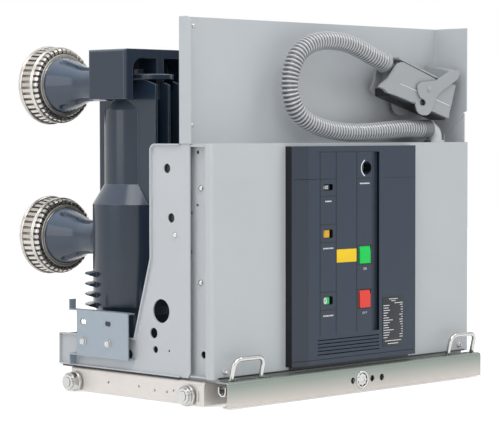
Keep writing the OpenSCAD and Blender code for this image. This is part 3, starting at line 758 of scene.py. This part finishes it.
class BREAKER_OT_fasteners(bpy.types.Operator):
    """Puts the bolts, screws and axle ends in place, black discs and strips as painted shade behind holes and
    gaps, and black strips along the cover's foot
    """
    bl_idname = "breaker.fasteners"
    bl_label = "Fasteners"

    def execute(self, context):
        steel, black, body = bright_steel(), black_plastic(), body_of("side_plate_left")
        bolts = on_both_sides(hex_bolt(5.4, 4.4, 7.2), [(340, 340, 90.5), (340, 276, 90.5)])
        piece("bracket_bolts", joined(bolts), steel, body)
        bolts = [placed(hex_bolt(3.8, 3.4, 5.2), at(x, 32, 59), FRONT) for x in (-302, 302)]
        piece("cover_bolts", joined(bolts), steel, body)
        heads = [placed(round_head(3.6, 2.4), at(x, 110.5, z), FRONT) for x, z in ((-296, 626), (-299.6, 462))]
        heads += on_both_sides(round_head(5.0, 4.2), [(324, 126, 280)])
        heads += on_both_sides(round_head(5.0, 4.4), [(312, 76, 358), (312, 77, 203)])
        piece("screw_heads", joined(heads), steel, body)
        # Black discs behind the side plates' holes: painted shade.
        discs = on_both_sides(slab(24, 24, 1.0, radius=11), [(319, 145.4, 390), (319, 135.7, 308)])
        piece("plate_hole_backs", joined(discs), black, body)
        # Black strips in the gap over the tray's sides: painted shadow.
        gaps = on_both_sides(slab(303, 3.6, 1.2, radius=0.4), [(321.6, 264.5, 43)])
        piece("tray_gap_strips", joined(gaps), black, body_of("base_tray"))
        # Black strips along the cover's foot, deeper under the panel.
        foot_strips = [placed(slab(636, 2.6, 0.9, radius=0.4), at(0, 32, 48.4), FRONT),
                placed(slab(308, 7.6, 0.9, radius=0.4), at(3, 31.4, 50.8), FRONT)]
        piece("cover_seal", joined(foot_strips), black, body_of("front_cover"))
        cap = lathe([(5.6, -0.5), (5.6, 0.5), (6.4, 0.5), (6.4, 0.1), (8.6, 0.1), (8.6, 1.1), (8.0, 1.7),
                     (TIP, 1.9)], 36)
        caps = on_both_sides(cap, [(342.6, 91, AXLE_Z), (348.6, 375, AXLE_Z)])
        piece("axle_caps", joined(caps), steel, body)
        return {"FINISHED"}


class BREAKER_OT_face(bpy.types.Operator):
    """Dresses the control panel: marks, plates and the drums' figures"""
    bl_idname = "breaker.face"
    bl_label = "Panel face"

    def execute(self, context):
        body = body_of("control_panel")
        white = printed("white print", srgb(232, 234, 236))
        words = [placed(marks("ON", 3.6, width=1.3), at(22, PANEL_Y, 213), FRONT),
                 placed(marks("OFF", 3.4, width=1.25), at(22, PANEL_Y, 136.5), FRONT)]
        for x, z, count in ((-72, 332, 5), (-72, 252, 8), (-72, 137, 8), (21, 361, 8)):
            dashes = marks("-" * count, 2.9, width=1.12, weight=0.8)
            words.append(placed(dashes, at(x, PANEL_Y, z), FRONT))
        ring = ribbon(arc_points(0, 0, 14.6, 112, 248), 2.0, 0.15)
        words.append(placed(ring, at(CHARGING_X, PANEL_Y, CHARGING_Z), FRONT))
        piece("panel_marks", joined(words), white, body)
        plate = placed(slab(50.5, 22.5, 0.5, radius=1.2, edge=0.2), at(-25.7, PANEL_Y, 237.8), FRONT)
        piece("yellow_plate", plate, printed("yellow print", srgb(238, 200, 8)), body)
        dark = placed(slab(56, 88, 0.5, radius=1.5, edge=0.2), at(96.5, PANEL_Y, 117), FRONT)
        piece("rating_plate", dark, printed("plate black", srgb(28, 32, 38)), body)
        piece("rating_lines", self.rating_lines(), white, body)
        self.joints(body)
        self.drums(white)
        return {"FINISHED"}

    def rating_lines(self):
        """A centred heading, rows with a long dash at the left and a short one at the right, and a foot."""
        draw = np.random.default_rng(5)
        left, right = 70.5, 122
        spans = [(85, 108, 156.5), (91, 103, 153), (100, right, 149), (74, 118, 83), (82, 110, 78)]
        for k, z in enumerate(np.linspace(145.5, 89, 14)):
            spans.append((left, left + float(draw.uniform(8, 18)) * (1 + (k % 4 == 2)), z))
            spans.append((right - float(draw.uniform(3, 9)), right, z))
        return joined([placed(ribbon([(x0, 0), (x1, 0)], 1.25, 0.12), at(0, PANEL_Y - 0.5, z), FRONT)
                       for x0, x1, z in spans])

    def joints(self, body):
        """Black inlays in the joints of the two strips, and a thin pale lip over each louvre."""
        left, right = (-92, -51.5), (1, 41.5)
        lines = [([(x, 104), (x, 415.5)], 2.4) for x in (*left, *right)]
        lines += [([(left[0], z), (left[1], z)], 1.4) for z in (370, 341, 292.5, 262, 177.5, 147)]
        lines += [([(right[0], z), (right[1], z)], 1.4) for z in (370, 253.3, 221.5, 177.4, 144.8)]
        lines.append(([(-98, 416.1), (59.5, 416.1)], 1.2))
        inlays = [placed(ribbon(points, width, 0.7), at(0, PANEL_Y + 0.5, 0), FRONT) for points, width in lines]
        piece("joint_inlays", joined(inlays), printed("joint black", srgb(6, 8, 10)), body)
        lip = slab(157.5, 2.0, 1.2, radius=0.4, edge=0.3)
        lips = [placed(lip, at(-19.25, PANEL_Y + 0.9, 73.3 + 6.1 * i), FRONT) for i in range(5)]
        piece("louvre_lips", joined(lips), panel_plastic(), body)

    def drums(self, white):
        """Flags over the drums, each an oval with these half axes swept up its window, and their figures."""
        body = body_of("indicator_drums")
        across, deep, edge = 10.2, 7.5, 0.8
        t = np.arange(40) * TAU / 40
        flags = []
        for low, high in ((156.3, 169.4), (269.9, 283.6), (351, 360.8)):
            rows = ((edge, low), (0, low + edge), (0, high - edge), (edge, high))
            rings = [np.stack([(across - k) * np.cos(t), 0 * t + z, (deep - k) * np.sin(t)], -1) * MM
                     for k, z in rows]
            flags.append(placed(patch(np.array(rings)), at(-73.5, 22, 0), FRONT))
        piece("drum_flags", joined(flags), drum_print(), body)
        aside = np.array([[0.906, -0.423, 0], [0, 0, 1], [-0.423, -0.906, 0]])  # 25 degrees from the front
        figures = [placed(marks("O", 9.5, width=0.62, weight=0.2), at(-78.3, 15.4, 162.8), aside)]
        figures += [placed(marks("O", 5, width=0.7), at(x, y, 355.9), aside)
                    for x, y in ((-81.5, 17.1), (-78.3, 15.3), (-75, 14.4))]
        piece("drum_figures", joined(figures), white, body)


class BREAKER_OT_sockets(bpy.types.Operator):
    """Fills the racking and charging sockets and the contacts' bores"""
    bl_idname = "breaker.sockets"
    bl_label = "Sockets"

    def execute(self, context):
        steel, beam = bright_steel(), body_of("cross_beam")
        collar = lathe([(15.4, -8), (15.4, 0.6), (14.8, 1.1), (12.6, 1.1), (12.1, 0.6), (12.1, -8)], 48)
        piece("racking_collar", placed(collar, at(0, 0, SCREW_Z), FRONT), steel, beam)
        # Black discs and a ring behind the beam's holes: painted shade for the truck behind them.
        shade_backs = [placed(slab(15, 15, 0.8, radius=7), at(x, 5.2, SCREW_Z), FRONT) for x in (-24, 26, 51)]
        around = lathe([(15.6, 0), (15.6, 0.6), (10.9, 0.6), (10.9, 0)], 48)
        shade_backs.append(placed(around, at(0, 8.6, SCREW_Z), FRONT))
        piece("hole_backs", joined(shade_backs), black_plastic(), beam)
        star = lathe([(6, -2), (10.6, -2, 0.09), (10.6, 1.2, 0.09), (9.8, 2.0, 0.09), (5.4, 2.0), (5.0, 1.0),
                      (TIP, 1.0)], 96, lambda t: np.cos(8 * t))
        piece("racking_star", placed(star, at(0, 1.5, SCREW_Z), FRONT), steel, body_of("racking_screw"))
        shaft = lathe([(7.5, -14), (7.5, 0), (6.8, 0.7), (4.2, 0.7), (3.8, -3), (TIP, -3)], 36)
        piece("charging_shaft", placed(shaft, at(CHARGING_X, 36, CHARGING_Z), FRONT), steel,
              body_of("control_panel"))
        liner = self.ring([(57.5, 0), (62.2, 0), (62.2, 20), (57.5, 20)])
        lip = self.ring([(51.2, 0), (56.4, 0), (56.4, 0.9), (55.6, 1.5), (52, 1.5), (51.2, 0.9)])
        rings = [placed(part, at(x, y, z), FRONT) for part, y in ((liner, 579), (lip, 541.2))
                 for z in (LOWER_Z, UPPER_Z) for x in POLE_X]
        dull = finish_of("dull silver", srgb(176, 171, 164), 0.35, metallic=0.6, drift=0.1, patch_scale=80)
        piece("mouth_liners", joined(rings), dull, body_of("upper_clusters"))
        return {"FINISHED"}

    def ring(self, rows, segments=64):
        """A turned ring: its rows run once round the ring's section, and the last joins the first."""
        verts, _ = lathe(rows, segments)
        return verts, grid_faces(len(rows), segments, True, True, False)


class BREAKER_OT_arms(bpy.types.Operator):
    """Shapes the resin arms, bell-mouthed, with four long flutes each"""
    bl_idname = "breaker.arms"
    bl_label = "Arms"

    def execute(self, context):
        for name, z, root in (("upper_arms", UPPER_Z, 382), ("lower_arms", LOWER_Z, 430)):
            arms = [placed(self.arm(root), at(x, 0, z)) for x in POLE_X]
            obj = piece(f"fluted_{name}", joined(arms), arm_resin_with_sheen(), body_of(name), sharp=50)
            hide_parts(name)
        return {"FINISHED"}

    def arm(self, root):
        """Turned arm: at depth y its radius is the neck's, then a quarter bow out to a straight flare and lip.
        A flute is cut as deep as its own half width, by 2.2 (1 - (d / half width)^2) of that and no more than
        all of it, where d is the distance from the flute's middle line."""
        neck, bow_start, bow_radius = 30.5, 462, 90.0
        flute, flute_angle, flute_middle, flute_half = 6.5, math.radians(65), 489, 33
        y = np.concatenate([[root, 440], np.arange(447, 532.6, 1.5), [533, 535, 536.4, 539, 539]])
        bow = neck + bow_radius - np.sqrt(bow_radius ** 2 - np.clip(y - bow_start, 0, 27.8) ** 2)
        r = np.interp(y, [489.8, 533, 536, 539], [0, 14.0, 15.1, 15.1]) + bow
        r[-1] = TIP
        t = np.arange(144) * TAU / 144
        turn = (t[None] + np.pi / 2) % np.pi - np.pi / 2          # the flutes repeat on the other side
        across = (np.abs(turn) - flute_angle) * r[:, None]
        along = np.clip(np.abs(y - flute_middle) - flute_half, 0, None)[:, None]
        depth = flute * np.clip(2.2 * (1 - (across ** 2 + along ** 2) / flute ** 2), 0, 1)
        rad = np.maximum(r[:, None] - depth, TIP)
        depth_y = np.broadcast_to(y[:, None], rad.shape)
        return patch(np.stack([rad * np.cos(t), depth_y, rad * np.sin(t)], -1) * MM)


class BREAKER_OT_plug_trim(bpy.types.Operator):
    """Adds the lever's pivot heads, a painted highlight along the hood's crease and a black patch of painted
    shadow in the lever's hook
    """
    bl_idname = "breaker.plug_trim"
    bl_label = "Plug trim"

    def execute(self, context):
        pivots = [placed(round_head(5.4, 3.0), at(226, 40.8, 527), FRONT),
                  placed(round_head(5.4, 3.0), at(226, 99.2, 527), REAR)]
        pivots_name, crease_highlight_name, opening_shadow_name = PLUG_TRIM
        piece(pivots_name, joined(pivots), plug_paint(), body_of("plug_lever"))
        # A pale ribbon along the hood's crease: a painted highlight.
        crease = placed(ribbon([(152, 535.5), (251, 508.5), (289, 497.8)], 1.3, 0.5), at(0, 44.9, 0), FRONT)
        piece(crease_highlight_name, crease, printed("worn crease", srgb(222, 225, 227)), body_of("plug_hood"))
        # A black patch of painted shadow, seen through the lever's hook.
        opening_shadow = placed(slab(14, 10, 0.2, radius=4), at(213, 44.85, 503), FRONT)
        piece(opening_shadow_name, opening_shadow, black_plastic(), body_of("plug_hood"))
        return {"FINISHED"}


# Each lamp's place, what it is turned to, its width and its height, in metres
LAMPS = {
    "side": ((-3.0, 0.55, 1.25), (-0.3, 0.0, 0.3), 1.6, 2.0),
    "front": ((-1.9, -3.0, 1.9), (0.0, -0.25, 0.3), 2.6, 1.8),
    "top": ((-1.0, -1.1, 2.8), (0.0, -0.1, 0.3), 2.4, 1.4),
    "high": ((1.26, -1.47, 2.44), (0.0, -0.1, 0.3), 1.0, 1.0),
    "spark": ((-1.9, -1.2, 2.9), (-0.2, 0.1, 0.4), 0.5, 0.35),
}
FLOOR_RADIUS, FLOOR_DROP, FLOOR_SIDES = 6.0, 0.0002, 64


class BREAKER_OT_stage(bpy.types.Operator):
    """Sets the floor, the lamps and the camera"""
    bl_idname = "breaker.stage"
    bl_label = "Stage"

    def execute(self, context):
        scene, stage = context.scene, context.scene.breaker_stage
        scene.view_settings.view_transform = "Standard"
        self.floor(scene)
        self.world(scene, stage)
        for name, lamp in LAMPS.items():
            self.softbox(f"{name} softbox", *lamp, getattr(stage, name))
        camera = bpy.data.objects.new("camera", bpy.data.cameras.new("camera"))
        camera.data.lens, camera.data.sensor_width = stage.lens, 36.0
        camera.data.clip_end = 60
        camera.location, camera.rotation_euler = stage.camera_place, stage.camera_turn
        scene.collection.objects.link(camera)
        scene.camera = camera
        return {"FINISHED"}

    def softbox(self, name, place, target, width, height, power):
        """A rectangular lamp at a place, turned to a target."""
        light = bpy.data.lights.new(name, "AREA")
        light.shape, light.size, light.size_y, light.energy = "RECTANGLE", width, height, power
        lamp = bpy.data.objects.new(name, light)
        lamp.location = place
        lamp.rotation_euler = (Vector(target) - Vector(place)).to_track_quat("-Z", "Y").to_euler()
        bpy.context.scene.collection.objects.link(lamp)

    def floor(self, scene):
        """Pale round floor, white to the camera where no shadow falls."""
        t = np.arange(FLOOR_SIDES) * TAU / FLOOR_SIDES
        radii = np.array([0.02, FLOOR_RADIUS])[:, None]
        rings = np.stack([radii * np.cos(t), radii * np.sin(t), 0 * radii * t - FLOOR_DROP], -1)
        verts, faces = patch(rings, capped=False)
        mesh = bpy.data.meshes.new("floor")
        mesh.from_pydata(verts.tolist(), [], [*faces, tuple(range(FLOOR_SIDES))])
        mat = bpy.data.materials.new("pale floor")
        mat.use_nodes = True
        tree = mat.node_tree
        shader = tree.nodes["Principled BSDF"]
        for key, value in (("Base Color", (0.86, 0.86, 0.86, 1)), ("Roughness", 0.9),
                           ("Emission Color", (1, 1, 1, 1))):
            shader.inputs[key].default_value = value
        rays = node(tree, "ShaderNodeLightPath").outputs
        seen = maths(tree, "MAXIMUM", rays["Is Camera Ray"], rays["Is Glossy Ray"])
        tree.links.new(maths(tree, "MULTIPLY", seen, 0.55), shader.inputs["Emission Strength"])
        mesh.materials.append(mat)
        obj = bpy.data.objects.new("floor", mesh)
        scene.collection.objects.link(obj)

    def world(self, scene, stage):
        """Even soft light, seen as white by the camera and in reflections."""
        world = bpy.data.worlds.new("studio")
        world.use_nodes = True
        scene.world = world
        tree = world.node_tree
        back = tree.nodes["Background"]
        rays = node(tree, "ShaderNodeLightPath").outputs
        seen = maths(tree, "MAXIMUM", rays["Is Camera Ray"], rays["Is Transmission Ray"])
        mirrored = maths(tree, "MAXIMUM", seen, rays["Is Glossy Ray"])
        mix = node(tree, "ShaderNodeMix", {0: mirrored, 2: stage.fill, 3: 1.0}, data_type="FLOAT")
        tree.links.new(mix.outputs[0], back.inputs["Strength"])
        back.inputs["Color"].default_value = (1, 1, 1, 1)


class BREAKER_PT_panel(bpy.types.Panel):
    """Lists the breaker's pieces in the sidebar"""
    bl_label = "Breaker"
    bl_space_type = "VIEW_3D"
    bl_region_type = "UI"
    bl_category = "Breaker"

    def draw(self, context):
        for operator in OPERATORS:
            self.layout.operator(operator.bl_idname)
        for name in SETTINGS:
            settings = getattr(context.scene, name)
            for key in settings.bl_rna.properties.keys():
                if key not in ("rna_type", "name"):
                    self.layout.prop(settings, key)


OPERATORS = [BREAKER_OT_stage, BREAKER_OT_plug_trim, BREAKER_OT_conduit, BREAKER_OT_finishes, BREAKER_OT_arms,
             BREAKER_OT_fasteners, BREAKER_OT_face, BREAKER_OT_sockets]
SETTINGS = {"breaker_sizes": BreakerSizes, "breaker_colours": BreakerColours, "breaker_stage": BreakerStage}


def register():
    """Registers the classes and hangs the settings on the scene."""
    for cls in [*SETTINGS.values(), *OPERATORS, BREAKER_PT_panel]:
        bpy.utils.register_class(cls)
    for name, cls in SETTINGS.items():
        setattr(bpy.types.Scene, name, bpy.props.PointerProperty(type=cls))


def unregister():
    """Takes the settings and the classes away again."""
    for name in SETTINGS:
        delattr(bpy.types.Scene, name)
    for cls in reversed([*SETTINGS.values(), *OPERATORS, BREAKER_PT_panel]):
        bpy.utils.unregister_class(cls)


def main():
    """Makes everything in order."""
    register()
    for operator in OPERATORS:
        group_name, call = operator.bl_idname.split(".")
        getattr(getattr(bpy.ops, group_name), call)()


if __name__ == "__main__":
    main()
